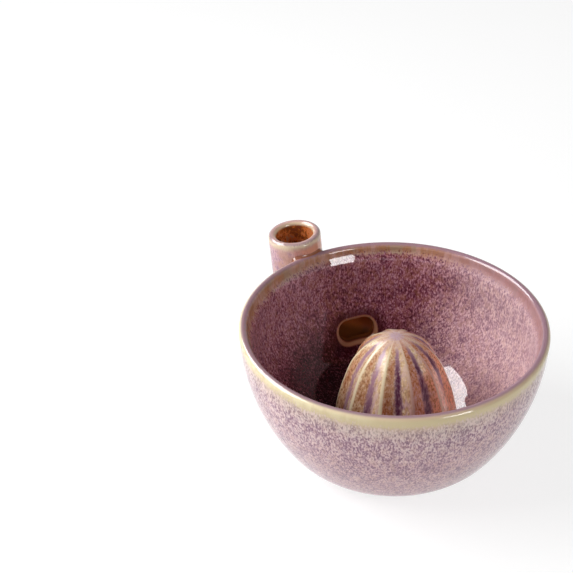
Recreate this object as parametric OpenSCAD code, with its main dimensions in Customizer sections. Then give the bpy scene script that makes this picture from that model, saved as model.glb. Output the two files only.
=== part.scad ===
// Berry washing bowl in glazed stoneware: a deep bowl on a foot ring, a fluted cone standing
// inside it, and a filling tube outside that turns in to a port low in the wall.
// The origin is the middle of the foot, +Z is up and +Y is the side with the port.

/* [Bowl] */
// Outer diameter of the rim
rim_d = 167; // [140:1:200]
// Height of the rim above the table
bowl_h = 85.5; // [72:0.5:100]
// Thickness of the wall, which is rounded over at the lip
wall_t = 4.7; // [3.5:0.1:6]
// Thickness of the floor
floor_t = 4.1; // [3:0.1:6]
// Place where the wall's upper curve runs into the lower one, on the way from the foot's edge to the rim's
turn_share = 0.547; // [0.5:0.001:0.6]
// Height of that turn above the table
turn_z = 20; // [16:0.5:26]

/* [Foot ring] */
// Outer diameter of the foot ring
foot_d = 84; // [78:1:90]
// Width of the ring that stands on the table
foot_w = 8; // [5:0.5:9]
// Height of the foot ring
foot_h = 2.5; // [1.5:0.1:4]
// Bevel at the outside of the foot ring
foot_bevel = 0.8; // [0.3:0.1:1.2]

/* [Fluted cone] */
// Diameter of the cone at the floor, over its ribs
cone_d = 70.8; // [62:0.2:74]
// Height of the cone above the floor
cone_h = 68.8; // [56:0.2:76]
// How far the cone was set to the right of the middle
cone_shift = 3; // [0:0.5:4]
// Number of flutes
flutes = 10; // [7:1:14]
// Depth of a flute at the floor
flute_depth = 3; // [1:0.1:4.5]
// Turn of the first rib from the front, towards the right
flute_turn = 13.4; // [0:0.1:40]
// Thickness of the cone behind the flutes
cone_wall = 4.5; // [3:0.1:6]

/* [Filling tube] */
// Outer diameter of the tube
tube_d = 31.2; // [27:0.2:34]
// Diameter of the tube's bore
tube_bore_d = 22; // [16:0.2:24]
// Height of the tube's mouth above the rim
tube_rise = 8.5; // [5:0.5:25]
// Direction of the tube from the middle, to the left of the back
tube_az = 31.6; // [26:0.1:38]
// Lean of the tube's top to the left
tube_lean = 4.4; // [0:0.1:6]
// How far the side of the tube is pressed into the rim's outline
tube_set_in = 2.2; // [0.5:0.1:3]
// Radius of the bend at the foot of the tube, to its middle line
bend_r = 18; // [17:0.5:20]

/* [Port] */
// Direction of the port from the middle, to the left of the back
port_az = 13; // [10:0.5:16]
// Height of the middle of the port
port_z = 33.7; // [31:0.1:38]
// Width of the port
port_w = 24; // [18:0.5:27]
// Height of the port
port_h = 13; // [10:0.5:16]

/* [Hidden] */
$fn = 96;

// How far a cut runs past the face that it opens
over = foot_h / 2;
// Steps along each arc of an outline
steps = 18;
// Colours of the glaze on the bowl and its tube, of the glaze on the cone, and of the bare clay
rose_glaze = "#C3A4AA";
cream_glaze = "#C9AE90";
clay = "#C9B39A";

// The wall's outer curve leaves the rim upright and turns level at the table
rim_r = rim_d / 2;
foot_r = foot_d / 2;
turn_in = (1 - turn_share) * (rim_r - foot_r);
turn_drop = bowl_h - turn_z;
upper_r = (turn_in * turn_in + turn_drop * turn_drop) / (2 * turn_in);
turn_angle = asin(turn_drop / upper_r);
lower_r = (bowl_h - upper_r * sin(turn_angle)) / (1 - sin(turn_angle));
upper_c = [rim_r - upper_r, bowl_h];
lower_c = upper_c + (upper_r - lower_r) * [cos(turn_angle), -sin(turn_angle)];

// The lip's round end touches both faces of the wall, and its top is at the full height
lip_r = wall_t / 2;
lip_turn = asin(lip_r / (upper_r - lip_r));
lip_c = upper_c + (upper_r - lip_r) * [cos(lip_turn), -sin(lip_turn)];
floor_z = foot_h + floor_t;

// The cone's hollow opens through the floor, and from this angle up its crown is flat
hollow_r = cone_d / 2 - flute_depth - cone_wall;
hollow_h = cone_h - cone_wall;
crown_up = 80;
cone_rows = 10;
flute_cols = 6;
cone_cols = flutes * flute_cols;

// The tube's own frame stands at the middle of its mouth, with its bore running down
tube_r = tube_d / 2;
bore_r = tube_bore_d / 2;
tube_lip_r = (tube_r - bore_r) / 2;
tube_c_r = rim_r + tube_r - tube_set_in;
mouth = [-tube_c_r * sin(tube_az) - tube_rise * tan(tube_lean),
         tube_c_r * cos(tube_az),
         bowl_h + tube_rise];
// The run aims at the middle of the port, half way through the wall
port_r = outer_radius(port_z) - wall_t / 2;
aim = [-port_r * sin(port_az), port_r * cos(port_az), port_z] - mouth;
aim_x = cos(tube_lean) * aim.x + sin(tube_lean) * aim.z;
run_z = cos(tube_lean) * aim.z - sin(tube_lean) * aim.x;
run_turn = atan2(aim.y, aim_x);
run_len = norm([aim_x, aim.y]) - bend_r;
bend_z = run_z + bend_r;

// Radius of the wall's outer face at a height
function outer_radius(z) =
    z > turn_z
    ? upper_c.x + sqrt(upper_r * upper_r - pow(bowl_h - z, 2))
    : lower_c.x + sqrt(lower_r * lower_r - pow(lower_c.y - z, 2));

// Points of an arc about a centre, from one angle to another
function arc(c, r, from, to) =
    [for (i = [0:steps]) let (a = from + (to - from) * i / steps) c + r * [cos(a), sin(a)]];

// The wall's face, from the lip's side down to a level, set in by an offset
function wall_face(inset, level) = concat(
    arc(upper_c, upper_r - inset, -lip_turn, -turn_angle),
    arc(lower_c, lower_r - inset, -turn_angle,
        -asin(min(1, (lower_c.y - level) / (lower_r - inset)))));

function reversed(list) = [for (i = [len(list) - 1:-1:0]) list[i]];

// The bowl's outline as a full body, for what is pressed against its outer face
module bowl_block() {
    rotate_extrude()
        polygon(concat(
            [[0, foot_h]],
            reversed(wall_face(0, foot_h)),
            arc(lip_c, lip_r, -lip_turn, 90),
            [[0, bowl_h]]));
}

// Prism of the port: a flat oval that follows the tube's lean
module port_cut() {
    half_span = (port_w - port_h) / 2;
    half_reach = wall_t + port_h / 2;
    rotate([0, 0, port_az])
        translate([0, port_r + half_reach, port_z])
            rotate([0, -tube_lean, 0])
                rotate([90, 0, 0]) {
                    for (side = [-1, 1])
                        translate([side * half_span, 0, 0])
                            cylinder(d = port_h, h = 2 * half_reach);
                    translate([-half_span, -port_h / 2, 0])
                        cube([2 * half_span, port_h, 2 * half_reach]);
                }
}

module bowl() {
    color(rose_glaze)
        difference() {
            rotate_extrude()
                polygon(concat(
                    [[0, foot_h]],
                    reversed(wall_face(0, foot_h)),
                    arc(lip_c, lip_r, -lip_turn, 180 - lip_turn),
                    wall_face(wall_t, floor_z),
                    [[0, floor_z]]));
            port_cut();
            translate([cone_shift, 0, foot_h - over])
                cylinder(r = hollow_r, h = floor_t + 2 * over);
        }
}

module foot_ring() {
    color(clay)
        rotate_extrude()
            polygon([
                [foot_r - foot_w, 0],
                [foot_r - foot_bevel, 0],
                [foot_r, foot_bevel],
                [foot_r, foot_h],
                [foot_r - foot_w, foot_h]]);
}

// Half an ellipse stood on the floor, drawn in between its ribs in the same share all the way up
module cone_skin() {
    base_r = cone_d / 2;
    dip_share = flute_depth / base_r;
    function rib_turn(j) = flute_turn - 90 + 360 * j / cone_cols;
    function rib_dip(j) = 1 - pow(2 * (j % flute_cols) / flute_cols - 1, 2);
    ring_points = [
        for (i = [0:cone_rows - 1], j = [0:cone_cols - 1])
            let (up = 90 * i / cone_rows,
                 r = base_r * cos(up) * (1 - dip_share * rib_dip(j)))
                [r * cos(rib_turn(j)), r * sin(rib_turn(j)), cone_h * sin(up)]];
    function at(i, j) = i * cone_cols + j % cone_cols;
    sides = [
        for (i = [0:cone_rows - 2], j = [0:cone_cols - 1])
            each [[at(i, j), at(i + 1, j), at(i + 1, j + 1)],
                  [at(i, j), at(i + 1, j + 1), at(i, j + 1)]]];
    cap = [
        for (j = [0:cone_cols - 1])
            [at(cone_rows - 1, j), len(ring_points), at(cone_rows - 1, j + 1)]];
    polyhedron(
        points = concat(ring_points, [[0, 0, cone_h]]),
        faces = concat([[for (j = [0:cone_cols - 1]) j]], sides, cap));
}

module fluted_cone() {
    color(cream_glaze)
        translate([cone_shift, 0, floor_z])
            difference() {
                cone_skin();
                rotate_extrude()
                    polygon(concat(
                        [[0, -over], [hollow_r, -over]],
                        [for (i = [0:cone_rows]) let (up = crown_up * i / cone_rows)
                            [hollow_r * cos(up), hollow_h * sin(up)]],
                        [[0, hollow_h * sin(crown_up)]]));
            }
}

// Places what is drawn at the middle of the tube's mouth, leaning with the tube
module at_mouth() {
    translate(mouth)
        rotate([0, -tube_lean, 0])
            children();
}

// The upright tube, pressed against the rim and cut to the bend at its foot
module inlet_tube() {
    color(rose_glaze)
        difference() {
            at_mouth()
                rotate_extrude()
                    polygon(concat(
                        [[bore_r, bend_z], [tube_r, bend_z]],
                        arc([tube_r - tube_lip_r, -tube_lip_r], tube_lip_r, 0, 180)));
            bowl_block();
        }
}

// The bend and the level run at one radius: the clay, or the water's way through it
module bent_run(r, length) {
    translate([0, 0, bend_z])
        rotate([0, 0, run_turn]) {
            translate([bend_r, 0, 0])
                rotate([90, 0, 0])
                    rotate([0, 0, 180])
                        rotate_extrude(angle = 90)
                            translate([bend_r, 0])
                                circle(r = r);
            translate([bend_r, 0, -bend_r])
                rotate([0, 90, 0])
                    cylinder(r = r, h = length);
        }
}

module inlet_elbow() {
    // Past the wall the run ends inside the bowl's full body, which is cut away
    past_wall = run_len + tube_d;
    color(rose_glaze)
        difference() {
            at_mouth()
                difference() {
                    bent_run(tube_r, past_wall);
                    bent_run(bore_r, past_wall + over);
                }
            bowl_block();
        }
}

bowl();
foot_ring();
fluted_cone();
inlet_tube();
inlet_elbow();
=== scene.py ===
"""Berry washing bowl: a glazed stoneware bowl with a fluted cone inside and a filling tube at its rim.

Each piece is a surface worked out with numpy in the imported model's own frame, in metres, with the
middle of the foot at the origin, +Z up and the port on the +Y side.
"""

import functools
import math

import bmesh
import bpy
import numpy as np
from bpy.props import FloatProperty, FloatVectorProperty, IntProperty, PointerProperty
from mathutils import Matrix, Quaternion, Vector


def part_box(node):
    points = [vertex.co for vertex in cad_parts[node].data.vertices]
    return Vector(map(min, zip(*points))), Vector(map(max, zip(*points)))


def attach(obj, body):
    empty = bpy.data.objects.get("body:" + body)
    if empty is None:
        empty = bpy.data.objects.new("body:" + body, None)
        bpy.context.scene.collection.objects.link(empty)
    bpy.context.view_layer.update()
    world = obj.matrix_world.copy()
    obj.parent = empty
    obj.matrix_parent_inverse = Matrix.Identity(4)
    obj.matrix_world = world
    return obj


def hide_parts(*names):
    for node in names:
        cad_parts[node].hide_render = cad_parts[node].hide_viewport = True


bl_info = {
    "name": "Berry washing bowl",
    "version": (1, 0, 0),
    "blender": (4, 5, 0),
    "location": "3D View > Sidebar > Washing bowl",
    "description": "Throws a reactive-glazed washing bowl with a fluted cone and a filling tube",
    "category": "Add Mesh",
}

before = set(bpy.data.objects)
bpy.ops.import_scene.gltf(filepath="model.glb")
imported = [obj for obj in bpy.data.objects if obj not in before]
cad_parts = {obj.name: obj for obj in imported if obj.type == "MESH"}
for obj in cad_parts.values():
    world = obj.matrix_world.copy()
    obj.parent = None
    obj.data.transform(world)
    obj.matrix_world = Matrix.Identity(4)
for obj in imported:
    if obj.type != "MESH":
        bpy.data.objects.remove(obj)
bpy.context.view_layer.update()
bowl_low, bowl_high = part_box("bowl")
foot_low, foot_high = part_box("foot_ring")
cone_low, cone_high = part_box("fluted_cone")

# Way that a piece's attributes give to a point far from an edge
FAR = 0.03


def linear(code):
    """Linear light of an sRGB hex colour: a channel over 12.92 up to 0.04045, and by the power of 2.4 above."""
    channels = [int(code[i : i + 2], 16) / 255 for i in (1, 3, 5)]
    return [c / 12.92 if c <= 0.04045 else ((c + 0.055) / 1.055) ** 2.4 for c in channels]


def colour(code, name, description):
    """A colour property with its default given as an sRGB hex colour."""
    return FloatVectorProperty(
        name=name, description=description, default=linear(code), subtype="COLOR", size=3, min=0, max=1
    )


def number(value, name, description, **more):
    """A number's property with its default, which is at least 0."""
    return FloatProperty(name=name, description=description, default=value, min=0, **more)


def length(metres, name, description):
    """A length's property with its default in metres."""
    return number(metres, name, description, unit="LENGTH", precision=4)


def angle(degrees, name, description):
    """An angle's property with its default given in degrees."""
    return FloatProperty(name=name, description=description, default=math.radians(degrees), unit="ROTATION")


class BowlSizes(bpy.types.PropertyGroup):
    rim_radius: length(bowl_high.x, "Rim radius", "Outer radius of the rim")
    height: length(bowl_high.z, "Height", "Height of the rim above the table")
    wall: length(0.0047, "Wall", "Thickness of the wall at the lip")
    foot: length(bowl_low.z, "Underside", "Height of the underside above the table")
    floor: length(0.0066, "Floor", "Height of the floor's top above the table")
    turn_radius: length(0.0647, "Turn radius", "Radius where the wall's upper curve runs into the lower one")
    turn_height: length(0.020, "Turn height", "Height of that turn above the table")
    belly: length(0.00215, "Belly", "How much thicker the wall is a little below the lip, on the inside")


class PortSizes(bpy.types.PropertyGroup):
    azimuth: angle(13, "Direction", "Direction of the port from the middle, to the left of the back")
    height: length(0.0337, "Height", "Height of the middle of the port above the table")
    width: length(0.0222, "Width", "Width of the opening inside its rounded lip")
    tall: length(0.0114, "Opening height", "Height of the opening inside its rounded lip")
    lip: length(0.0018, "Lip", "Radius of the rounded lip")
    sill: length(0.0003, "Sill", "How much wider the glaze's broken edge is below the port")
    tilt: angle(4.4, "Tilt", "Tilt of the port, which follows the lean of the tube")


class FootSizes(bpy.types.PropertyGroup):
    radius: length(foot_high.x, "Radius", "Outer radius of the foot ring")
    width: length(0.008, "Width", "Width of the ring that stands on the table")
    height: length(foot_high.z, "Height", "Height of the foot ring")
    round_off: length(0.0008, "Edge", "Radius of its lower edges, wiped with a wet sponge")


class ConeSizes(bpy.types.PropertyGroup):
    radius: length(0.0354, "Radius", "Radius at the floor, over the ribs")
    height: length(cone_high.z - cone_low.z, "Height", "Height of the cone above the floor")
    shift: length(0.003, "Shift", "How far the cone was set to the right of the middle")
    flutes: IntProperty(name="Flutes", description="Number of flutes", default=10, min=5, max=16)
    flute_depth: length(0.003, "Flute depth", "Depth of a flute at the floor")
    fade: length(0.008, "Fade", "Distance from the tip within which the flutes fade out")
    first_rib: angle(13.4, "First rib", "Turn of the first rib from the front, towards the right")
    crest: number(0.06, "Crest", "How blunt a rib is")
    shoulder: length(0.0010, "Shoulder", "How much fuller the cone is a little below its tip")
    lean: length(0.0012, "Lean", "How far its tip leans to the left")
    skirt: length(0.0024, "Skirt", "Radius of the glaze that pools round the cone's foot")
    hollow_radius: length(0.0279, "Hollow radius", "Radius of the cone's hollow at the floor")
    hollow_height: length(0.0634, "Hollow height", "Height of the cone's hollow")


class InletSizes(bpy.types.PropertyGroup):
    radius: length(0.0156, "Radius", "Outer radius of the tube")
    bore: length(0.011, "Bore", "Radius of the tube's bore")
    rise: length(0.0085, "Rise", "Height of the middle of the tube's mouth above the rim")
    azimuth: angle(31.6, "Direction", "Direction of the tube from the middle, to the left of the back")
    lean: angle(4.4, "Lean", "Lean of the tube's top to the left")
    set_in: length(0.0022, "Set in", "How far the tube is pressed into the rim's outline")
    bend: length(0.018, "Bend", "Radius of the bend at the tube's foot, to its middle line")
    seam_low: length(0.0035, "Seam below", "Radius of the clay smoothed into the corner low down")
    seam_high: length(0.0014, "Seam at the rim", "Radius of the clay smoothed into the corner at the rim")


class GlazeColours(bpy.types.PropertyGroup):
    mauve: colour("#886379", "Mauve fleck", "Darkest flecks outside")
    rose: colour("#AE8693", "Rose", "Body of the glaze outside")
    blush: colour("#D0A9B0", "Blush", "Pale flecks outside")
    milk: colour("#E8CBC9", "Milk", "Milky crystals outside")
    frost: colour("#D2C6C4", "Frost", "Greyish crystals outside, under the band")
    # Inside, maroon also stands in for painted shade low down and towards the left, where the glaze partly pooled
    maroon: colour("#3A050E", "Maroon", "Darkest flecks inside, and where it pooled low down")
    plum: colour("#864A57", "Plum", "Body of the glaze inside")
    brick: colour("#A26C78", "Brick rose", "Warm flecks inside")
    petal: colour("#C892A0", "Petal", "Palest flecks inside")
    russet: colour("#96604E", "Russet", "Warm patches inside")
    sand: colour("#CDA69E", "Sand rose", "Soft edges of the bands, and warm flecks outside")
    straw: colour("#D9C79C", "Straw", "Band outside, under the lip")
    # At the outer band's left, cream is a painted highlight
    cream: colour("#E6D9B4", "Cream", "Palest part of that band, and the ribs' crests")
    tan: colour("#B07E5E", "Tan", "Band inside, under the lip, the port's edge, and patches on the tube")
    olive: colour("#94805C", "Olive", "Patches of that band inside")
    honey: colour("#D2743A", "Honey", "Lit flecks inside the tube, and inside the elbow")
    rust: colour("#A05C34", "Rust", "Iron specks in the bare clay")
    crest: colour("#9A7A88", "Crest", "Thin line along the lips' crests")
    amber: colour("#86481C", "Amber", "Inside the tube, and in its corner with the bowl")
    # Painted shade: this dark colour stands in for the shade deep in the port and the elbow
    shade_ink: colour("#2A1208", "Ink", "Deepest part of the port and the elbow")
    bisque: colour("#8E5E48", "Bisque", "Dark flecks on the ribs' pale flanks")
    wheat: colour("#C89A74", "Wheat", "Body of the glaze on the ribs' pale flanks")
    oat: colour("#E6D0AE", "Oat", "Palest flecks on the ribs' flanks")
    # On the cone, peach is painted light thrown back by the bowl's lit wall; on the tube it is the glaze's colour
    peach: colour("#F0A47C", "Peach", "Warm glaze on the cone's right side, and on the tube near the rim")
    umber: colour("#7E3E2A", "Umber", "Dark flecks on the ribs' brown flanks, and round the port")
    ginger: colour("#BC7C54", "Ginger", "Body of the glaze on the ribs' brown flanks")
    thistle: colour("#98708C", "Thistle", "Thin edges of the pools in the flutes")
    violet: colour("#501E3A", "Violet", "Pools in the flutes, and cool patches inside")
    lilac: colour("#B79CB2", "Lilac", "The cone's tip")
    clay: colour("#C9B39A", "Bare clay", "Fired stoneware without glaze")


class StudioSettings(bpy.types.PropertyGroup):
    sky: number(0.16, "Sky", "Strength of the soft light from all round")
    walls: number(0.42, "Walls", "Strength of the light that the pale walls send in low down")
    key: number(8.7, "Key", "Radiance of the large lamp at the left")
    fill: number(6.5, "Fill", "Radiance of the small lamp at the front right")
    soft_box: number(13, "Soft box", "Radiance of what the gloss shows at the left")
    window: number(15, "Window", "Radiance of what the gloss shows at the front right")
    focal: number(75.39, "Focal length", "Camera's focal length in millimetres")
    pitch: angle(33.21228, "Pitch", "How far the camera looks down")
    roll: angle(1.724116, "Roll", "How far the camera is turned clockwise")
    place: FloatVectorProperty(
        name="Place", description="Place of the camera", default=(-0.056881, -0.5299695, 0.4564009), unit="LENGTH"
    )


def smooth(low, high, value):
    """Smooth step: 0 at low, 1 at high, and 3t² - 2t³ of the share t between them. Low may exceed high."""
    t = np.clip((value - low) / (high - low), 0, 1)
    return t * t * (3 - 2 * t)


def arc(centre, radius, start, stop, count):
    """Points of an arc: the centre plus the radius times (cos a, sin a), for evenly spaced angles a.

    The radius is one number, or one for each point."""
    turn = np.linspace(start, stop, count)
    return np.asarray(centre) + np.reshape(radius, (-1, 1)) * np.stack([np.cos(turn), np.sin(turn)], -1)


def way_along(points):
    """Length along a line of points from its first one, at each point."""
    steps = np.linalg.norm(np.diff(points, axis=0), axis=-1)
    return np.concatenate([[0], np.cumsum(steps)])


def grid_faces(rows, columns):
    """Quads of a grid that closes on itself both ways. Point (row, column) has number row * columns + column."""
    row, column = np.meshgrid(np.arange(rows), np.arange(columns), indexing="ij")
    after, beside = (row + 1) % rows, (column + 1) % columns
    return np.stack(
        [row * columns + column, after * columns + column, after * columns + beside, row * columns + beside], -1
    )


def full_turn(count):
    """That many angles spaced evenly over a full turn."""
    return 2 * math.pi * np.arange(count) / count


def turned(line, turn):
    """Grid of an outline turned round the axis: (-radius sin(turn), radius cos(turn), height) for each turn."""
    high = np.broadcast_to(line[:, 1], (len(turn), len(line)))
    return np.stack([-np.sin(turn)[:, None] * line[:, 0], np.cos(turn)[:, None] * line[:, 0], high], -1)


def linked(name, data):
    """An object made of some data and linked to the scene."""
    thing = bpy.data.objects.new(name, data)
    bpy.context.scene.collection.objects.link(thing)
    return thing


def make_piece(name, points, values, node=None, faces=None):
    """Makes a piece from points, named values at its points and faces, which are turned outwards.

    Without faces the points are a grid that closes on itself both ways. The piece rides on the body
    and, if a node is named, stands for that node."""
    if faces is None:
        faces = grid_faces(*points.shape[:2]).reshape(-1, 4).tolist()
    mesh = bpy.data.meshes.new(name)
    mesh.from_pydata(points.reshape(-1, 3).tolist(), [], faces)
    outwards = bmesh.new()
    outwards.from_mesh(mesh)
    bmesh.ops.recalc_face_normals(outwards, faces=outwards.faces[:])
    if outwards.calc_volume(signed=True) < 0:
        bmesh.ops.reverse_faces(outwards, faces=outwards.faces[:])
    outwards.to_mesh(mesh)
    outwards.free()
    for key, numbers in values.items():
        mesh.attributes.new(key, "FLOAT", "POINT").data.foreach_set("value", np.float32(numbers).ravel())
    mesh.shade_smooth()
    mesh.set_sharp_from_angle(angle=math.radians(50))
    piece = linked(name, mesh)
    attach(piece, "root")
    if node:
        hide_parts(node)
    return piece


class Wall:
    """The bowl's wall in the plane of radius and height.

    Its outer face is two arcs that touch at the turn: the upper one leaves the rim upright, and the
    lower one would come level at the table. The lip is a half circle that touches both faces."""

    def __init__(self, bowl):
        turn_in, drop = bowl.rim_radius - bowl.turn_radius, bowl.height - bowl.turn_height
        self.bowl = bowl
        self.upper_r = (turn_in**2 + drop**2) / (2 * turn_in)
        self.turn = math.asin(drop / self.upper_r)
        self.lower_r = (bowl.height - self.upper_r * math.sin(self.turn)) / (1 - math.sin(self.turn))
        self.upper_c = np.array([bowl.rim_radius - self.upper_r, bowl.height])
        self.lip_r = bowl.wall / 2
        self.lip_turn = math.asin(self.lip_r / (self.upper_r - self.lip_r))
        self.lower_c, self.lip_c = [
            self.upper_c + (self.upper_r - radius) * np.array([math.cos(turn), -math.sin(turn)])
            for radius, turn in ((self.lower_r, self.turn), (self.lip_r, self.lip_turn))
        ]

    def outside(self, points):
        """Distance of points outside the wall's outer face and lip, and the way straight out.

        The distance is less than zero within. Each point belongs to one of three circles, by the
        direction in which the upper arc's centre sees it: the lip's, the upper arc's or the lower's."""
        round_z = np.hypot(points[..., 0], points[..., 1])
        flat = np.stack([round_z, points[..., 2]], -1)
        seen = flat - self.upper_c
        up = np.arctan2(seen[..., 1], seen[..., 0])
        which = np.where(up > -self.lip_turn, 0, np.where(up > -self.turn, 1, 2))
        away = flat - np.stack([self.lip_c, self.upper_c, self.lower_c])[which]
        far = np.linalg.norm(away, axis=-1)
        away = away / far[..., None]
        level = away[..., :1] * points[..., :2] / round_z[..., None]
        radius = np.array([self.lip_r, self.upper_r, self.lower_r])[which]
        return far - radius, np.concatenate([level, away[..., 1:]], -1)

    def belly(self, below):
        """Extra thickness at a length below the lip: it swells within 8 mm and is gone again by 36 mm."""
        return self.bowl.belly * smooth(0.0011, 0.0081, below) * smooth(0.036, 0.0094, below)

    def outline(self, hollow):
        """The closed outline from the hollow's edge: underside, outer face, lip, inner face and floor.

        Returns the points and their way from the lip's crest, which is more than zero outside."""
        bowl, thick = self.bowl, self.bowl.wall

        def level(inset, height):
            return -math.asin(min(1, (self.lower_c[1] - height) / (self.lower_r - inset)))

        inner = self.upper_r - thick
        below = inner * np.linspace(0, self.turn - self.lip_turn, 60)
        lower_out = arc(self.lower_c, self.lower_r, level(0, bowl.foot), -self.turn, 26)
        lower_in = arc(self.lower_c, self.lower_r - thick, -self.turn, level(thick, bowl.floor), 26)
        line = np.concatenate([
            np.linspace([hollow, bowl.foot], lower_out[0], 9)[:-1],
            lower_out[:-1],
            arc(self.upper_c, self.upper_r, -self.turn, -self.lip_turn, 50)[:-1],
            arc(self.lip_c, self.lip_r, -self.lip_turn, math.pi - self.lip_turn, 17)[:-1],
            arc(self.upper_c, inner - self.belly(below), -self.lip_turn, -self.turn, 60)[:-1],
            lower_in[:-1],
            np.linspace(lower_in[-1], [hollow, bowl.floor], 8),
            np.linspace([hollow, bowl.floor], [hollow, bowl.foot], 4)[1:-1],
        ])
        way = way_along(line)
        return line, way[np.argmax(line[:, 1])] - way


class Port:
    """The oblong port. The axes of its frame are level but for the tilt, square to that, and straight outwards."""

    def __init__(self, port, wall):
        self.lip, self.sill, self.half = port.lip, port.sill, port.tall / 2
        self.span = port.width / 2 - self.half
        sin, cos = math.sin(port.azimuth), math.cos(port.azimuth)
        level, out = np.array([cos, sin, 0]), np.array([-sin, cos, 0])
        tip, lift = math.sin(port.tilt), math.cos(port.tilt)
        self.axes = np.array([level * lift + [0, 0, tip], [0, 0, lift] - level * tip, out])
        side = wall.upper_c[0] + math.sqrt(wall.upper_r**2 - (wall.bowl.height - port.height) ** 2)
        self.middle = out * (side - wall.bowl.wall / 2) + [0, 0, port.height]
        self.wall = wall

    def seen(self, points):
        """Points in the port's frame."""
        return (points - self.middle) @ self.axes.T

    def broken(self, points):
        """Distance beyond the edge where the glaze broke: from the line between the ends, less half the height.

        From the middle down to the port's lower side, that edge moves out by the sill's width."""
        flat = self.seen(points)
        past = np.maximum(np.abs(flat[..., 0]) - self.span, 0)
        return np.hypot(past, flat[..., 1]) - self.half - self.sill * smooth(0, -self.half, flat[..., 1])

    def reach(self, turn, grow):
        """Distance from the middle to the oblong's edge, grown by an amount, in a direction across the port.

        It is the straight side's distance while the ray meets that side, and the round end's past it."""
        radius, cos, sin = self.half + grow, np.abs(np.cos(turn)), np.abs(np.sin(turn))
        side = radius / np.maximum(sin, 1e-9)
        end = self.span * cos + np.sqrt(np.maximum(radius**2 - (self.span * sin) ** 2, 0))
        return np.where(side * cos <= self.span, side, end)

    def on_face(self, flat, outer):
        """Points of the wall's inner or outer face at flat places across the port, by Newton's steps along it."""
        wall, along = self.wall, self.axes[2]
        place = self.middle + flat[..., :2] @ self.axes[:2]
        for _ in range(8):
            over, out = wall.outside(place)
            if not outer:
                across = np.hypot(place[..., 0], place[..., 1]) - wall.upper_c[0]
                turn = np.arctan2(wall.upper_c[1] - place[..., 2], across) - wall.lip_turn
                over = over + wall.bowl.wall + wall.belly((wall.upper_r - wall.bowl.wall) * turn)
            place = place - (over / (out @ along))[..., None] * along
        return place


class Inlet:
    """The way of the filling tube: straight down from its mouth, round a quarter bend, and level to the port.

    It lies in a frame that leans with the tube and is turned so that the bend goes along its first axis."""

    def __init__(self, inlet, port, wall):
        bowl = wall.bowl
        away = bowl.rim_radius + inlet.radius - inlet.set_in
        self.radius, self.bore, self.bend = inlet.radius, inlet.bore, inlet.bend
        self.mouth = np.array([
            -away * math.sin(inlet.azimuth) - inlet.rise * math.tan(inlet.lean),
            away * math.cos(inlet.azimuth),
            bowl.height + inlet.rise,
        ])
        lean, upright = math.sin(inlet.lean), math.cos(inlet.lean)
        aim = port.middle - self.mouth
        aim_x, self.run_z = upright * aim[0] + lean * aim[2], upright * aim[2] - lean * aim[0]
        turn = math.atan2(aim[1], aim_x)
        first, second = np.array([upright, 0, lean]), np.array([0, 1, 0])
        self.axes = np.array([
            math.cos(turn) * first + math.sin(turn) * second,
            math.cos(turn) * second - math.sin(turn) * first,
            [-lean, 0, upright],
        ])
        self.down = -(self.run_z + self.bend)
        self.total = self.down + self.bend * math.pi / 2 + math.hypot(aim_x, aim[1]) - self.bend

    def skin(self, radius, way, turn):
        """Points at a radius round the middle line, at a way from the mouth and a turn from the bend's side."""
        bent = np.clip((way - self.down) / self.bend, 0, math.pi / 2)
        run = np.maximum(way - self.down - self.bend * math.pi / 2, 0)
        fall = np.where(way < self.down, -way, -self.down - self.bend * np.sin(bent))
        side, aside = radius * np.cos(turn), radius * np.sin(turn)
        along = self.bend * (1 - np.cos(bent)) + run + side * np.cos(bent)
        here = np.stack(np.broadcast_arrays(along, aside, fall + side * np.sin(bent)), -1)
        return here @ self.axes + self.mouth

    def outside(self, points):
        """Distance of points outside the tube's skin, and the way straight out.

        That is away from the nearest point of the middle line: above the bend the upright, past it
        the run, and between them the quarter circle."""
        x, y, z = np.moveaxis((points - self.mouth) @ self.axes.T, -1, 0)
        low, past = z + self.down, x - self.bend
        spoke = np.maximum(np.hypot(past, low), 1e-9)
        upright = (low >= 0) & ((past < 0) | (np.abs(x) < np.abs(z - self.run_z)))
        run = ~upright & (past >= 0)
        swell = (spoke - self.bend) / spoke
        flat_x = np.where(upright, x, np.where(run, 0, swell * past))
        flat_z = np.where(upright, 0, np.where(run, z - self.run_z, swell * low))
        far = np.sqrt(flat_x**2 + y**2 + flat_z**2)
        out = (np.stack([flat_x, y, flat_z], -1) / far[..., None]) @ self.axes
        return far - self.radius, out

    def ends(self, radius, turn, wall, sunk):
        """Way from the mouth at which the skin goes that deep into the wall, for each turn, from 900 tries."""
        way = np.linspace(self.down, self.total + 0.06, 900)
        depth = -wall.outside(self.skin(radius, way[:, None], turn))[0]
        if depth.max(axis=0).min() < sunk:
            raise RuntimeError("the run passes the wall without meeting it all round")
        first, each = np.maximum(np.argmax(depth > sunk, axis=0), 1), np.arange(len(turn))
        before, after = depth[first - 1, each], depth[first, each]
        return way[first - 1] + (way[1] - way[0]) * (sunk - before) / (after - before)


def add(tree, kind, inputs=None, out=0, stops=None, **settings):
    """Adds a node to a tree, with its settings, its ramp's stops and its inputs: a value, or a socket to link.

    Returns the output that out numbers or names, if the node has outputs."""
    node = tree.nodes.new(kind)
    for key, value in settings.items():
        setattr(node, key, value)
    for key, value in (inputs or {}).items():
        if isinstance(value, bpy.types.NodeSocket):
            tree.links.new(value, node.inputs[key])
        else:
            node.inputs[key].default_value = value
    if stops:
        ramp = node.color_ramp.elements
        while len(ramp) < len(stops):
            ramp.new(0.5)
        for element, (position, paint) in zip(ramp, stops):
            element.position, element.color = position, (*paint, 1)
    return node.outputs[out] if node.outputs else None


def new_material(name):
    """An empty node material and its tree."""
    material = bpy.data.materials.new(name)
    material.use_nodes = True
    material.node_tree.nodes.clear()
    return material, material.node_tree


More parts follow.
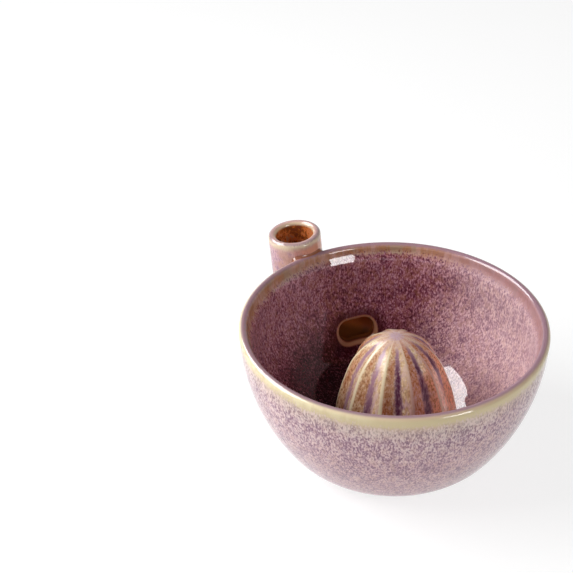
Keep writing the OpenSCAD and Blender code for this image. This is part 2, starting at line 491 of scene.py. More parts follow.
def new_glaze(name, *attributes):
    """An empty material, its tree, and sockets: the place on the piece, its x and z, and the named attributes."""
    material, tree = new_material(name)
    place = add(tree, "ShaderNodeTexCoord", out="Object")
    right, height = [add(tree, "ShaderNodeSeparateXYZ", {0: place}, axis) for axis in "XZ"]
    read = [add(tree, "ShaderNodeAttribute", out="Fac", attribute_name=key) for key in attributes]
    return material, tree, place, right, height, *read


def over(under, layers):
    """Paints layers over a colour in order.

    Each layer is a colour, and then masks that are multiplied: sockets, or the arguments of step.
    A colour is a property's or a socket."""
    def rgba(paint):
        return paint if isinstance(paint, bpy.types.NodeSocket) else (*paint, 1)

    under = rgba(under)
    for paint, *masks in layers:
        mask = functools.reduce(both, [step(*mask) if isinstance(mask, tuple) else mask for mask in masks])
        mix = {0: mask, 6: under, 7: rgba(paint)}
        under = add(mask.id_data, "ShaderNodeMix", mix, 2, data_type="RGBA")
    return under


def step(value, low, high, top=1.0):
    """Mask that rises smoothly from 0 where the value is at low to top where it is at high. Low may exceed high."""
    ends = {0: value, 1: low, 2: high, 3: 0, 4: top}
    return add(value.id_data, "ShaderNodeMapRange", ends, interpolation_type="SMOOTHSTEP")


def plus(value, other, times=1.0):
    """The value plus another one, a socket, times a number."""
    terms = {0: other, 1: times, 2: value}
    return add(other.id_data, "ShaderNodeMath", terms, operation="MULTIPLY_ADD")


def sway(value, noise, amount):
    """The value moved up or down by a noise of mean 0.5 times an amount."""
    return plus(value, plus(-0.5 * amount, noise, amount))


def both(first, second):
    """Mask where two masks meet: their product."""
    return add(first.id_data, "ShaderNodeMath", {0: first, 1: second}, operation="MULTIPLY")


def grain(place, size, stretch=1.0, detail=2, rough=0.55, shift=0.0):
    """Noise between 0 and 1 whose lumps are about the size given in metres, drawn out upwards by stretch."""
    tree, squeeze = place.id_data, (1, 1, 1 / stretch)
    moved = add(tree, "ShaderNodeMapping", {0: place, 1: (shift, shift, shift), 3: squeeze})
    noise = {"Vector": moved, "Scale": 0.75 / size, "Detail": detail, "Roughness": rough}
    return add(tree, "ShaderNodeTexNoise", noise)


def glaze_shader(paint, place, rough=0.025, index=1.5):
    """Glossy glaze: a glass of an index over its colour, with waves of 0.01 mm that a fired glaze keeps."""
    tree = place.id_data
    waves = grain(place, 0.0016, detail=1)
    relief = add(tree, "ShaderNodeBump", {"Height": waves, "Distance": 0.00001})
    glass = {"Base Color": paint, "Roughness": rough, "IOR": index, "Normal": relief}
    shader = add(tree, "ShaderNodeBsdfPrincipled", glass)
    add(tree, "ShaderNodeOutputMaterial", {0: shader})


def bowl_glaze(paints):
    """Reactive glaze on stoneware, dipped and fired to about 1220 °C.

    Crystals of it stand as flecks 0.9 mm across, and as hairs that ran down, drawn as coarse as 0.6
    by 1.4 mm so that they show. It ran off the lip, so a straw band is left outside and a tan one
    inside, and the straw band is painted paler cream at the left as a painted highlight. Inside it is
    painted paler on the right and at the far left as painted light, and darker low down and towards
    the left, where it partly pooled and is partly painted shade. It broke to tan over the edge of the
    port, and the port's deep inside is painted dark as shade."""
    material, tree, place, right, height, way, port = new_glaze("reactive_glaze_rose", "lip_way", "port_way")
    hair = grain(place, 0.0006, 2.4, rough=0.6)
    fleck = grain(place, 0.0009, 1.4, detail=3, rough=0.65, shift=0.3)
    clumps = grain(place, 0.0045, 1.6, shift=0.7)
    clouds = grain(place, 0.024, 0.9, shift=1.3)
    runs = grain(place, 0.0026, 5, shift=2.1)
    warm = grain(place, 0.0024, 1.4, rough=0.6, shift=4.3)
    mottle = sway(sway(fleck, hair, 1.25), clumps, 0.4)
    # At the two sides the bands end higher up outside and lower down inside
    aside = add(tree, "ShaderNodeMath", {0: right}, operation="ABSOLUTE")
    beside = plus(way, aside, 0.03)
    ragged = sway(sway(beside, runs, 0.004), hair, 0.012)

    pale = add(tree, "ShaderNodeValToRGB", {0: mottle}, stops=[
        (0.30, paints.mauve), (0.43, paints.rose), (0.56, paints.blush), (0.72, paints.milk)])
    pale = over(pale, [
        (paints.sand, (warm, 0.48, 0.64, 0.45)),
        (paints.mauve, (warm, 0.50, 0.34, 0.38)),
    ])
    outer = over(pale, [
        (paints.frost, (sway(mottle, clouds, 0.4), 0.42, 0.66, 0.6), (beside, 0.038, 0.012)),
        (paints.cream, (beside, 0.020, 0.009, 0.30)),
        (paints.mauve, (mottle, 0.44, 0.32, 0.5), (beside, 0.038, 0.018)),
        (paints.milk, (mottle, 0.52, 0.66, 0.5), (beside, 0.038, 0.018)),
        (paints.blush, (way, 0.040, 0.085, 0.4)),
    ])
    # Painted shade inside: darker low down and towards the left, where the glaze partly pooled; a little paler at
    # the far left, painted light
    pooled = both(step(height, 0.062, 0.012, 0.32), step(right, 0.050, 0.005))
    thin = step(pooled, 0.26, 0.04)
    depth = plus(plus(mottle, step(right, -0.028, -0.070, 0.12)), pooled, -1.0)
    deep = add(tree, "ShaderNodeValToRGB", {0: depth}, stops=[
        (0.17, paints.maroon), (0.45, paints.plum), (0.57, paints.brick), (0.71, paints.petal)])
    # The warm and cool patches stay out of that painted shade
    inner = over(deep, [
        (paints.russet, (warm, 0.48, 0.64, 0.45), thin),
        (paints.violet, (warm, 0.50, 0.34, 0.40), thin),
        # Painted light: the pale outer glaze and milk on the right of the inside, where the lamp at the left falls
        (pale, (sway(right, clouds, 0.03), 0.014, 0.070)),
        (paints.milk, (right, 0.030, 0.080, 0.22)),
    ])
    straw = over(paints.straw, [
        (paints.sand, (way, 0.0056, 0.0096, 0.75)),
        (paints.sand, (way, 0.0036, 0.0008, 0.5)),
        # Painted highlight: the band is painted paler cream at the left, where the lamp's gloss runs along the lip
        (paints.cream, (sway(way, runs, 0.012), 0.0058, 0.0016, 0.8), (right, 0.010, -0.055)),
    ])
    lining = over(paints.tan, [
        (paints.sand, (runs, 0.40, 0.62, 0.6)),
        (paints.olive, (sway(clouds, runs, 0.3), 0.52, 0.66, 0.6)),
        (paints.rose, (right, 0.020, 0.062, 0.6)),
    ])
    inside = step(way, 0.0006, -0.0006)
    paint = over(outer, [
        (straw, (ragged, 0.0108, 0.0056)),
        (inner, inside),
        (lining, inside, (ragged, -0.0085, -0.0042)),
        (paints.crest, (sway(way, hair, 0.003), -0.0030, -0.0012, 0.85), (way, 0.0018, 0.0004)),
        (paints.maroon, (port, 0.0090, 0.0026, 0.75), (port, 0.0014, 0.0026)),
        (paints.umber, (sway(port, fleck, 0.0010), 0.0024, 0.0014)),
        (paints.tan, (port, 0.0022, 0.0012, 0.7), (port, -0.0006, 0.0004)),
        (paints.honey, (port, -0.0010, -0.0036)),
        # Painted shade: the port's deep inside, low down, is painted near black
        (paints.shade_ink, (port, 0.0, -0.0020), (height, 0.0345, 0.0300, 0.75)),
    ])
    glaze_shader(paint, place)
    return material


def cone_glaze(paints, cone, floor):
    """The same glaze on the cone, softer. It ran off the ribs to cream and pooled in the flutes. The
    brown on one flank of each rib is partly the glaze's colour and partly painted shade on the flank
    turned from the lamp at the left. The peach and sand on the cone's right side are painted light
    thrown back by the bowl's lit wall."""
    material, tree, place, right, height, rib, flank = new_glaze("reactive_glaze_cream", "rib", "flank")
    up = add(tree, "ShaderNodeMapRange", {0: height, 1: floor, 2: floor + cone.height})

    hair = grain(place, 0.0006, 3.0, rough=0.6)
    fleck = grain(place, 0.0010, 1.8, rough=0.6, shift=0.5)
    streaks = grain(place, 0.0018, 6, shift=0.9)
    patches = grain(place, 0.012, 1.8, shift=3.1)
    mottle = sway(fleck, hair, 0.8)
    crest = sway(rib, streaks, 0.06)
    # Less than zero down in a flute, and never at the far right and low down
    pool = sway(sway(plus(both(flank, 0.30), rib, 0.95), streaks, 0.9), hair, 0.5)
    pool = plus(pool, both(step(right, 0.024, 0.034, 1.2), step(up, 0.75, 0.50)))
    deep = plus(up, right, -24.0)

    pale = add(tree, "ShaderNodeValToRGB", {0: mottle}, stops=[
        (0.22, paints.bisque), (0.48, paints.wheat), (0.72, paints.oat)])
    # Towards the right the brown ramp is shifted to sand: painted light thrown back by the bowl's lit wall
    brown = add(tree, "ShaderNodeValToRGB", {0: plus(mottle, right, 3.5)}, stops=[
        (0.18, paints.umber), (0.48, paints.ginger), (0.80, paints.sand)])
    # The brown flanks, partly painted shade on the flank turned from the lamp at the left: wider to the right and
    # low down
    side = plus(plus(plus(patches, flank, 0.30), right, 6.0), step(right, 0.000, 0.020, 0.42))
    side = sway(plus(side, up, -0.35), streaks, 0.4)
    paint = over(pale, [
        (paints.blush, (streaks, 0.58, 0.38, 0.75), (flank, 0.2, -0.6)),
        (paints.straw, (sway(up, patches, 0.8), 0.45, 0.85, 0.32)),
        (brown, (side, 0.18, 0.62)),
        # Peach on the cone's right side: painted light thrown back by the bowl's lit wall
        (paints.peach, (sway(right, streaks, 0.02), 0.012, 0.028, 0.95), (mottle, 0.42, 0.56)),
        (paints.plum, (streaks, 0.54, 0.68, 0.4), (up, 0.6, 0.2)),
        (paints.thistle, (pool, -0.32, -1.00, 0.8), (up, 0.992, 0.94)),
        (paints.violet, (pool, -0.56, -1.10, 0.95), (up, 0.985, 0.82), (deep, 1.06, 0.78), (right, 0.029, 0.021)),
        (paints.sand, (crest, 0.90, 0.99, 0.8)),
        (paints.cream, (crest, 0.88, 0.99), (right, 0.014, -0.006, 0.85)),
        (paints.cream, (rib, 0.93, 0.99), (right, 0.018, 0.026, 0.6)),
        (paints.sand, (up, 0.945, 0.985, 0.5)),
        (paints.lilac, (sway(up, hair, 0.030), 0.988, 1.001, 0.7)),
    ])
    glaze_shader(paint, place, rough=0.20, index=1.36)
    return material


def tube_glaze(paints, worn):
    """The same glaze, thinner on the tube. It is cream where it ran off the lip, peach round the worn place
    near the rim, and amber in the bore."""
    material, tree, place, _, height, way, corner = new_glaze("reactive_glaze_blush", "lip_way", "corner_way")
    apart = add(tree, "ShaderNodeVectorMath", {0: place, 1: worn}, 1, operation="DISTANCE")

    hair = grain(place, 0.0006, 3.0, rough=0.6)
    fleck = grain(place, 0.0010, 1.6, rough=0.65, shift=0.3)
    runs = grain(place, 0.0022, 3, shift=2.1)
    clouds = grain(place, 0.005, detail=3, shift=0.4)
    mottle = sway(fleck, hair, 0.8)
    warm = sway(sway(apart, clouds, 0.018), runs, 0.010)
    lip = sway(way, hair, 0.005)
    body = add(tree, "ShaderNodeValToRGB", {0: mottle}, stops=[
        (0.30, paints.mauve), (0.44, paints.rose), (0.66, paints.blush), (0.96, paints.milk)])
    bore = add(tree, "ShaderNodeValToRGB", {0: sway(clouds, fleck, 0.6)}, stops=[
        (0.34, paints.umber), (0.46, paints.amber), (0.56, paints.honey), (0.70, paints.tan)])
    paint = over(body, [
        (paints.rose, (runs, 0.50, 0.70, 0.5)),
        (paints.sand, (clouds, 0.44, 0.60, 0.5)),
        (paints.tan, (sway(clouds, mottle, 0.5), 0.40, 0.60), (way, 0.050, 0.024, 0.42)),
        (paints.sand, (lip, 0.0084, 0.0050, 0.6)),
        (paints.cream, (lip, 0.0060, 0.0034, 0.6)),
        (paints.crest, (sway(way, hair, 0.003), 0.0030, 0.0012, 0.8)),
        (paints.sand, (way, 0.0010, -0.0004, 0.9)),
        (paints.peach, (warm, 0.018, 0.007, 0.6), (sway(way, runs, 0.004), 0.0030, 0.0066)),
        (paints.amber, (corner, 0.0010, 0.0, 0.7)),
        (paints.straw, (way, -0.0008, -0.0020, 0.6)),
        (bore, (way, -0.0024, -0.0042)),
        (paints.honey, (way, -0.006, -0.020), (height, 0.052, 0.042)),
        # Painted shade: the bore is painted near black low down in the elbow
        (paints.shade_ink, (way, -0.006, -0.020), (height, 0.031, 0.025, 0.7)),
    ])
    glaze_shader(paint, place)
    return material


def bare_clay(paints):
    """Buff stoneware without glaze: dry and matt. Its sand grains of about 0.4 mm are drawn at 0.7 mm to show."""
    material, tree = new_material("bare_stoneware")
    place = add(tree, "ShaderNodeTexCoord", out="Object")
    sand = grain(place, 0.0007, detail=3, rough=0.7)
    iron = grain(place, 0.0011, detail=0, shift=0.6)
    paint = over(paints.clay, [
        (paints.cream, (sand, 0.50, 0.70, 0.5)),
        (paints.rust, (iron, 0.70, 0.76, 0.6)),
    ])
    relief = add(tree, "ShaderNodeBump", {"Height": sand, "Distance": 0.0001})
    shader = add(tree, "ShaderNodeBsdfPrincipled", {"Base Color": paint, "Roughness": 0.85, "Normal": relief})
    add(tree, "ShaderNodeOutputMaterial", {0: shader})
    return material


def parts_of(scene):
    """The wall, port and inlet for the sizes kept with the scene."""
    wall = Wall(scene.washer_bowl)
    port = Port(scene.washer_port, wall)
    return wall, port, Inlet(scene.washer_inlet, port, wall)


class WASHER_OT_bowl(bpy.types.Operator):
    """Throw the bowl, with its lip, floor and port"""

    bl_idname = "washer.bowl"
    bl_label = "Bowl"

    def execute(self, context):
        """The outline is turned round the axis, and both faces leave out a window of the grid for the port.

        A sleeve joins the two windows: across the inner face, over a quarter-round lip, through the
        wall and across the outer face. Its two parameters are the place round the port and the way
        through it."""
        scene = context.scene
        wall, port, _ = parts_of(scene)
        cone = scene.washer_cone
        line, way = wall.outline(cone.hollow_radius)
        columns, rows = 288, len(line)
        points = turned(line, scene.washer_port.azimuth - math.pi + full_turn(columns))
        # The hole for the cone's hollow is set over with the cone, and the floor evens it out by 40.5 mm
        points[..., 0] += cone.shift * smooth(0.0405, cone.hollow_radius, line[:, 0])
        points = points.reshape(-1, 3)

        # The windows reach this many columns and rows to each side of the port's middle
        half_wide, half_tall = 11, 9
        middle = columns // 2
        wide, tall = np.arange(-half_wide, half_wide), np.arange(-half_tall, half_tall)
        aside = np.concatenate([wide, np.full(len(tall), half_wide), -wide, np.full(len(tall), -half_wide)])
        above = np.concatenate([np.full(len(wide), -half_tall), tall, np.full(len(wide), half_tall), -tall])
        keep = np.ones((columns, rows), bool)
        loops = []
        for face, up in ((way < 0, -1), (way > 0, 1)):
            row = np.argmin(np.where(face, np.abs(line[:, 1] - port.middle[2]), 1))
            loops.append((middle + aside) * rows + row + up * above)
            keep[middle - half_wide : middle + half_wide, row - half_tall : row + half_tall] = False
        inner_flat, outer_flat = [port.seen(points[loop])[:, :2] for loop in loops]
        around = np.arctan2(inner_flat[:, 1], inner_flat[:, 0])
        spoke = np.stack([np.cos(around), np.sin(around)], -1)

        sleeve, inner_rings, outer_rings = [], 5, 4
        for share in np.linspace(0, 1, inner_rings + 1)[1:]:
            out = np.hypot(*inner_flat.T) * (1 - share) + port.reach(around, port.lip) * share
            sleeve.append(port.on_face(out[:, None] * spoke, False))
        for bend in np.linspace(0, math.pi / 2, 8)[1:]:
            out = port.reach(around, port.lip * (1 - math.sin(bend)))
            depth = port.lip * (1 - math.cos(bend)) * port.axes[2]
            sleeve.append(port.on_face(out[:, None] * spoke, False) + depth)
        last = sleeve[-1]
        edge = port.on_face(port.seen(last)[:, :2], True)
        for share in np.linspace(0, 1, 5)[1:]:
            sleeve.append(last * (1 - share) + edge * share)
        for share in np.linspace(0, 1, outer_rings + 2)[1:-1]:
            sleeve.append(port.on_face(port.seen(edge)[:, :2] * (1 - share) + outer_flat * share, True))
        sleeve = np.stack(sleeve)

        numbers = len(points) + np.arange(sleeve[..., 0].size).reshape(sleeve.shape[:2])
        numbers = np.stack([loops[0], *numbers, loops[1]])
        beside = np.roll(numbers, -1, axis=1)
        sleeve_faces = np.stack([numbers[:-1], numbers[1:], beside[1:], beside[:-1]], -1).reshape(-1, 4)
        faces = np.concatenate([grid_faces(columns, rows)[keep], sleeve_faces])
        every = np.concatenate([points, sleeve.reshape(-1, 3)])
        used, faces = np.unique(faces, return_inverse=True)

        deep = port.seen(sleeve)[..., 2] - port.seen(sleeve[inner_rings - 1])[:, 2]
        broken = port.broken(sleeve)
        port_way = np.minimum(broken, port.lip) - np.maximum(deep - port.lip, 0)
        port_way[:inner_rings] = broken[:inner_rings]
        lip_way = np.tile(way, columns)
        near = (lip_way < 0) & (points[:, 1] > 0)
        near_way = np.where(near, np.clip(port.broken(points), -0.02, FAR), FAR)
        sleeve_way = np.full(sleeve.shape[:2], -FAR)
        sleeve_way[-outer_rings:] = FAR
        values = {
            "lip_way": np.append(lip_way, sleeve_way)[used],
            "port_way": np.append(near_way, port_way)[used],
        }
        piece = make_piece("glazed_bowl", every[used], values, "bowl", faces.reshape(-1, 4).tolist())
        piece.data.materials.append(bowl_glaze(scene.washer_colours))
        return {"FINISHED"}


class WASHER_OT_foot(bpy.types.Operator):
    """Turn the foot ring, left bare where it stands"""

    bl_idname = "washer.foot"
    bl_label = "Foot ring"

    def execute(self, context):
        """A flat ring with both lower edges rounded, turned round the axis and set 0.3 mm into the bowl."""
        foot = context.scene.washer_foot
        inside, soft = foot.radius - foot.width, foot.round_off
        top = foot.height + 0.0003
        line = np.concatenate([
            np.linspace([inside, top], [inside, soft], 4)[:-1],
            arc([inside + soft, soft], soft, math.pi, 1.5 * math.pi, 8)[:-1],
            np.linspace([inside + soft, 0], [foot.radius - soft, 0], 5)[:-1],
            arc([foot.radius - soft, soft], soft, -0.5 * math.pi, 0, 8)[:-1],
            np.linspace([foot.radius, soft], [foot.radius, top], 4),
        ])
        piece = make_piece("bare_foot_ring", turned(line, math.pi + full_turn(192)), {}, "foot_ring")
        piece.data.materials.append(bare_clay(context.scene.washer_colours))
        return {"FINISHED"}


class WASHER_OT_cone(bpy.types.Operator):
    """Press the fluted cone and its hollow"""

    bl_idname = "washer.cone"
    bl_label = "Fluted cone"

    def execute(self, context):
        """Half an ellipse whose radius is drawn in between the ribs.

        With t from 0 at a rib to 1 at the next, the draw is the flute's depth times
        sqrt(sin²(pi t) + crest) - sqrt(crest), made 1 in the middle, and it fades out near the tip.
        The ellipse is fuller at a shoulder below the tip, and leans by the square of its height. A
        quarter-round skirt of glaze spreads its foot over the floor. The hollow is a plain half
        ellipse."""
        scene = context.scene
        cone, floor = scene.washer_cone, scene.washer_bowl.floor
        columns = cone.flutes * 28
        turn = full_turn(columns)
        t = turn * cone.flutes / (2 * math.pi)
        soft = math.sqrt(cone.crest)
        draw = (np.sqrt(np.sin(math.pi * t) ** 2 + cone.crest) - soft) / (math.sqrt(1 + cone.crest) - soft)
        # The rows lie closer together in the skirt and at the tip
        skirt_share, tip_up = 0.05, 0.97 * math.pi / 2
        up = np.concatenate([
            np.arcsin(np.linspace(0, 1, 12)[:-1] ** 2 * skirt_share),
            np.linspace(math.asin(skirt_share), tip_up, 84)[:-1],
            np.linspace(tip_up, math.pi / 2, 8)[:-1],
        ])
        high = cone.height * np.sin(up)
        share = cone.flute_depth / cone.radius * smooth(cone.height, cone.height - cone.fade, high)
        full = cone.shoulder * smooth(0.55, 0.80, np.sin(up)) * smooth(1, 0.86, np.sin(up))
        low = np.clip(high / cone.skirt, 0, 1)
        skirt = cone.skirt * (1 - np.sqrt(1 - (1 - low) ** 2))
        reach = (cone.radius * np.cos(up) + full)[:, None] * (1 - share[:, None] * draw) + skirt[:, None]
        inner_up = np.linspace(0, math.pi / 2, 33)[:-1]
        inner_reach = np.repeat((cone.hollow_radius * np.cos(inner_up))[:, None], columns, 1)
        inner_high = cone.hollow_height * np.sin(inner_up)
        # Both feet are set 0.1 mm into the floor
        high[0] = inner_high[0] = -0.0001
        reach = np.concatenate([reach[::-1], inner_reach])
        high = np.concatenate([high[::-1], inner_high])
        direction = turn + cone.first_rib
        leant = cone.shift - cone.lean * (np.clip(high, 0, 1) / cone.height) ** 2
        points = np.stack([
            leant[:, None] + reach * np.sin(direction),
            -reach * np.cos(direction),
            floor + np.broadcast_to(high[:, None], reach.shape),
        ], -1).reshape(-1, 3)
        rows = len(high)
        faces = grid_faces(rows, columns)[:-1].reshape(-1, 4).tolist()
        first = np.arange(columns)
        last = first + (rows - 1) * columns
        tip, crown = np.full(columns, len(points)), np.full(columns, len(points) + 1)
        faces += np.stack([tip, first, np.roll(first, -1)], -1).tolist()
        faces += np.stack([crown, np.roll(last, -1), last], -1).tolist()
        ends = [[leant[0], 0, floor + cone.height], [leant[-1], 0, floor + cone.hollow_height]]
        values = {
            "rib": np.append(np.tile(np.cos(2 * math.pi * t), rows), [0, 0]),
            "flank": np.append(np.tile(np.sin(2 * math.pi * t), rows), [0, 0]),
        }
        piece = make_piece("glazed_cone", np.concatenate([points, ends]), values, "fluted_cone", faces)
        piece.data.materials.append(cone_glaze(scene.washer_colours, cone, floor))
        return {"FINISHED"}


class WASHER_OT_inlet(bpy.types.Operator):
    """Draw the filling tube, its elbow and the clay smoothed into their corner"""

    bl_idname = "washer.inlet"
    bl_label = "Filling tube"

    def execute(self, context):
        """The three pieces share one glaze, which wore thin and warm round a place on the tube beside the rim."""
        scene = context.scene
        wall, _, inlet = parts_of(scene)
        worn = (-0.0385, 0.0745, 0.0885)
        glaze = tube_glaze(scene.washer_colours, worn)
        turn = full_turn(120)
        pieces = [
            self.tube(wall, inlet, turn),
            self.elbow(wall, inlet, turn),
            self.seam(scene.washer_inlet, wall, inlet, turn),
        ]
        for piece in pieces:
            piece.data.materials.append(glaze)
        return {"FINISHED"}

    def tube(self, wall, inlet, turn):
        """An outline of radius and way, up the outside, over the lip and down the bore, is carried round."""
        lip = (inlet.radius - inlet.bore) / 2
        line = np.concatenate([
            np.linspace([inlet.radius, inlet.down], [inlet.radius, lip], 34)[:-1],
            arc([inlet.radius - lip, lip], lip, 0, -math.pi, 21)[:-1],
            np.linspace([inlet.bore, lip], [inlet.bore, inlet.down], 30),
        ])
        points = inlet.skin(line[:, :1], line[:, 1:], turn)
        way = way_along(line)
        values = {
            "lip_way": np.repeat(way[np.argmin(line[:, 1])] - way, len(turn)),
            "corner_way": np.clip(wall.outside(points)[0], 0, FAR),
        }
        return make_piece("glazed_tube", points, values, "inlet_tube")

    def elbow(self, wall, inlet, turn):
        """Skin and bore are carried round the bend and along the run until they meet the wall, turn by turn.

        The skin goes on until it is 0.6 mm deep in the wall, and the bore until it is 0.05 mm deep."""
        outer = inlet.ends(inlet.radius, turn, wall, 0.0006)
        bore = inlet.ends(inlet.bore, turn, wall, 0.00005)
        share = np.linspace(0, 1, 60)[:, None]
        points = np.concatenate([
            inlet.skin(inlet.radius, inlet.down + share * (outer - inlet.down), turn),
            inlet.skin(inlet.bore, inlet.down + share[::-1] * (bore - inlet.down), turn),
        ])
        values = {
            "lip_way": np.repeat([FAR, -FAR], len(share) * len(turn)),
            "corner_way": np.clip(wall.outside(points)[0], 0, FAR),
        }
        return make_piece("glazed_elbow", points, values, "inlet_elbow")

    def seam(self, sizes, wall, inlet, turns):
        """The fillet that a ball leaves when it rolls round the corner between tube and bowl.

        The ball's middle keeps its radius from both skins. It starts as a loop drawn 3 mm outside the
        tube, and is moved on to that line by Newton's steps of at most 2 mm on both distances, with
        its points evenly spaced in between. The fillet is the arc from the wall to the tube round
        each middle, and its edges are sunk 0.4 mm into both."""
        count, clear = 320, 0.003
        u = full_turn(count) + math.pi / count
        # Down the tube on one side and up on the other, from 6 mm below its mouth to the run's end
        start, far = 0.006, inlet.ends(inlet.radius, turns, wall, -clear).max()
        way = start + (far - start) * (1 - np.cos(u)) / 2
        side = np.where(u < math.pi, 1, -1) * np.tanh(5 * np.minimum(u, 2 * math.pi - u))
        # Middle and half width in degrees: narrow beside the rim, and all round at the run's end
        wide = smooth(inlet.down - 0.004, far, way)
        middle, half = -33 - 27 * wide, 38 + 142 * wide
        ball = inlet.skin(inlet.radius + clear, way, np.radians(middle + side * half))

        def radius(place):
            """Radius of the ball, which shrinks from 24 to 2 mm below the rim."""
            high = smooth(wall.bowl.height - 0.024, wall.bowl.height - 0.002, place[:, 2])
            return sizes.seam_low + (sizes.seam_high - sizes.seam_low) * high

        def gaps(place):
            """Distances that the ball's middle is off on the tube and the wall, and both ways out."""
            (gap_a, out_a), (gap_b, out_b) = inlet.outside(place), wall.outside(place)
            return gap_a - radius(place), gap_b - radius(place), out_a, out_b

        # Each round but the last ten spaces the points evenly again
        rounds, still = 90, 10
        for left in range(rounds, 0, -1):
            off_a, off_b, out_a, out_b = gaps(ball)
            between = np.sum(out_a * out_b, -1)
            free = np.maximum(1 - between**2, 0.02)
            move_a, move_b = (off_a - between * off_b) / free, (off_b - between * off_a) / free
            move = -(move_a[:, None] * out_a + move_b[:, None] * out_b)
            size = np.linalg.norm(move, axis=-1, keepdims=True)
            ball = ball + move * np.minimum(1, 0.002 / np.maximum(size, 1e-9))
            if left > still:
                loop = np.concatenate([ball, ball[:1]])
                even = way_along(loop)
                at = np.linspace(0, even[-1], count, endpoint=False)
                ball = np.stack([np.interp(at, even, axis) for axis in loop.T], -1)
        off_a, off_b, out_a, out_b = gaps(ball)
        off = max(np.abs(off_a).max(), np.abs(off_b).max())
        if off > 0.0001:
            raise RuntimeError(f"the ball doesn't reach both skins: {off:.5f} m off")
        apart = np.arccos(np.clip(np.sum(out_a * out_b, -1), -1, 1))[:, None, None]
        steps = 13
        share = np.linspace(0, 1, steps)[:, None]
        swing = np.sin((1 - share) * apart) * out_b[:, None] + np.sin(share * apart) * out_a[:, None]
        swing = np.pad(-swing / np.sin(apart), ((0, 0), (1, 1), (0, 0)), "edge")
        sunk = np.zeros((steps + 2, 1))
        sunk[[0, -1]] = 0.0004
        points = ball[:, None] + (radius(ball)[:, None, None] + sunk) * swing
        values = {"lip_way": np.full(points.shape[:2], FAR), "corner_way": np.zeros(points.shape[:2])}
        return make_piece("seam_clay", points, values)


def shown(tree):
    """1 for what the camera, the gloss or a glass shows, and 0 for the light that is only sent on."""
    rays = [add(tree, "ShaderNodeLightPath", out=f"Is {kind} Ray") for kind in ("Camera", "Glossy", "Transmission")]
    return functools.reduce(lambda a, b: add(tree, "ShaderNodeMath", {0: a, 1: b}, operation="MAXIMUM"), rays)


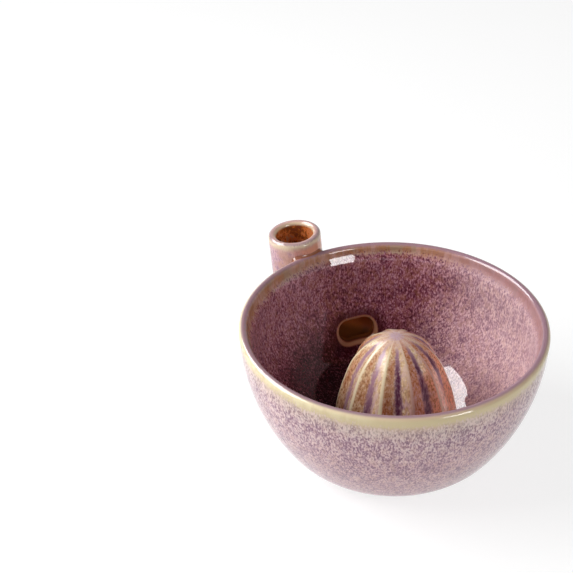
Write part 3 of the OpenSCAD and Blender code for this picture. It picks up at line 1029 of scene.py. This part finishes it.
class WASHER_OT_studio(bpy.types.Operator):
    """Set the floor, the lamps, the sky and the camera"""

    bl_idname = "washer.studio"
    bl_label = "Studio"

    def execute(self, context):
        studio = context.scene.washer_studio
        self.floor()
        self.sky(context.scene, studio)
        # Name, azimuth, elevation, roll, distance, width, height, radiance, and if it is for the gloss
        lamps = [
            ("key_lamp", -92, 40, -18, 1.1, 0.93, 0.59, studio.key, False),
            ("fill_lamp", 45, 30, 0, 1.2, 0.40, 0.42, studio.fill, False),
            ("soft_box", -106, 40, -10, 1.0, 1.15, 0.60, studio.soft_box, True),
            ("window", 37, 15, 0, 1.1, 0.37, 0.34, studio.window, True),
        ]
        for lamp in lamps:
            self.lamp(*lamp)
        self.camera(context.scene, studio)
        return {"FINISHED"}

    def floor(self):
        """A white table top that shows as white, keeps a soft shadow, and sends plain white light back up."""
        material, tree = new_material("white_table")
        matt = add(tree, "ShaderNodeBsdfDiffuse", {0: (0.8, 0.8, 0.8, 1)})
        pale = add(tree, "ShaderNodeBsdfDiffuse", {0: (0.32, 0.32, 0.32, 1)})
        white = add(tree, "ShaderNodeEmission", {0: (1, 1, 1, 1), 1: 0.76})
        lit = add(tree, "ShaderNodeAddShader", {0: pale, 1: white})
        mixed = add(tree, "ShaderNodeMixShader", {0: shown(tree), 1: matt, 2: lit})
        add(tree, "ShaderNodeOutputMaterial", {0: mixed})
        mesh = bpy.data.meshes.new("table_top")
        mesh.from_pydata([(-6, -6, 0), (6, -6, 0), (6, 6, 0), (-6, 6, 0)], [], [(0, 1, 2, 3)])
        mesh.materials.append(material)
        table = linked("table_top", mesh)

    def sky(self, scene, studio):
        """White walls that end 12° to 20° up and a darker ceiling are seen and mirrored. The light is softer."""
        scene.world = bpy.data.worlds.new("studio")
        scene.world.use_nodes = True
        tree = scene.world.node_tree
        tree.nodes.clear()
        way = add(tree, "ShaderNodeTexCoord", out="Generated")
        height = add(tree, "ShaderNodeSeparateXYZ", {0: way}, "Z")
        wall = add(tree, "ShaderNodeValToRGB", {0: height}, stops=[(0.20, (1, 1, 1)), (0.34, (0.04, 0.04, 0.04))])
        seen = add(tree, "ShaderNodeBackground", {0: wall})
        strength = plus(studio.sky, step(height, 0.50, 0.15), studio.walls - studio.sky)
        light = add(tree, "ShaderNodeBackground", {0: (1, 1, 1, 1), 1: strength})
        mixed = add(tree, "ShaderNodeMixShader", {0: shown(tree), 1: light, 2: seen})
        add(tree, "ShaderNodeOutputWorld", {0: mixed})

    def lamp(self, name, azimuth, elevation, roll, far, wide, tall, radiance, mirrored):
        """A rectangular lamp that faces the bowl from an azimuth right of the front and an elevation, in degrees.

        It is rolled about the way to the bowl. Its power is its radiance times its area times pi. It
        either lights the piece or is what its gloss mirrors."""
        light = bpy.data.lights.new(name, "AREA")
        light.shape, light.size, light.size_y = "RECTANGLE", wide, tall
        light.energy = radiance * wide * tall * math.pi
        lamp = linked(name, light)
        lamp.visible_diffuse, lamp.visible_glossy = not mirrored, mirrored
        a, e = math.radians(azimuth), math.radians(elevation)
        back = Vector((math.sin(a) * math.cos(e), -math.cos(a) * math.cos(e), math.sin(e)))
        lamp.location = Vector((0, 0, 0.05)) + back * far
        lamp.rotation_mode = "QUATERNION"
        lamp.rotation_quaternion = back.to_track_quat("Z", "Y") @ Quaternion((0, 0, 1), math.radians(roll))

    def camera(self, scene, studio):
        """The place and direction that lay the CAD's rims and port over the photograph's."""
        pitch, roll = studio.pitch, studio.roll
        across, up = Vector((1, 0, 0)), Vector((0, math.sin(pitch), math.cos(pitch)))
        back = Vector((0, -math.cos(pitch), math.sin(pitch)))
        right = math.cos(roll) * across - math.sin(roll) * up
        top = math.sin(roll) * across + math.cos(roll) * up
        data = bpy.data.cameras.new("camera")
        data.lens, data.sensor_width, data.sensor_fit = studio.focal, 36, "HORIZONTAL"
        data.clip_start, data.clip_end = 0.01, 50
        place = Matrix((right, top, back)).transposed().to_4x4()
        place.translation = studio.place
        scene.camera = linked("camera", data)
        scene.camera.matrix_world = place
        scene.view_settings.view_transform = "Standard"


class WASHER_PT_panel(bpy.types.Panel):
    """Sizes, colours and steps of the washing bowl"""

    bl_idname = "WASHER_PT_panel"
    bl_label = "Washing bowl"
    bl_space_type = "VIEW_3D"
    bl_region_type = "UI"
    bl_category = "Washing bowl"

    def draw(self, context):
        for operator in OPERATORS:
            self.layout.operator(operator.bl_idname)
        for name in GROUPS:
            group = getattr(context.scene, name)
            box = self.layout.box()
            for key in group.bl_rna.properties.keys():
                if key not in {"rna_type", "name"}:
                    box.prop(group, key)


GROUPS = {
    "washer_bowl": BowlSizes,
    "washer_port": PortSizes,
    "washer_foot": FootSizes,
    "washer_cone": ConeSizes,
    "washer_inlet": InletSizes,
    "washer_colours": GlazeColours,
    "washer_studio": StudioSettings,
}
OPERATORS = (WASHER_OT_bowl, WASHER_OT_foot, WASHER_OT_cone, WASHER_OT_inlet, WASHER_OT_studio)


def register():
    """Registers the classes and keeps one of each group of settings with the scene."""
    for group in (*GROUPS.values(), *OPERATORS, WASHER_PT_panel):
        bpy.utils.register_class(group)
    for name, group in GROUPS.items():
        setattr(bpy.types.Scene, name, PointerProperty(type=group))


def unregister():
    """Takes the settings and classes away again."""
    for name in GROUPS:
        delattr(bpy.types.Scene, name)
    for group in (WASHER_PT_panel, *reversed(OPERATORS), *reversed(GROUPS.values())):
        bpy.utils.unregister_class(group)


def main():
    """Makes every piece and the studio."""
    register()
    bpy.ops.washer.bowl()
    bpy.ops.washer.foot()
    bpy.ops.washer.cone()
    bpy.ops.washer.inlet()
    bpy.ops.washer.studio()


if __name__ == "__main__":
    main()
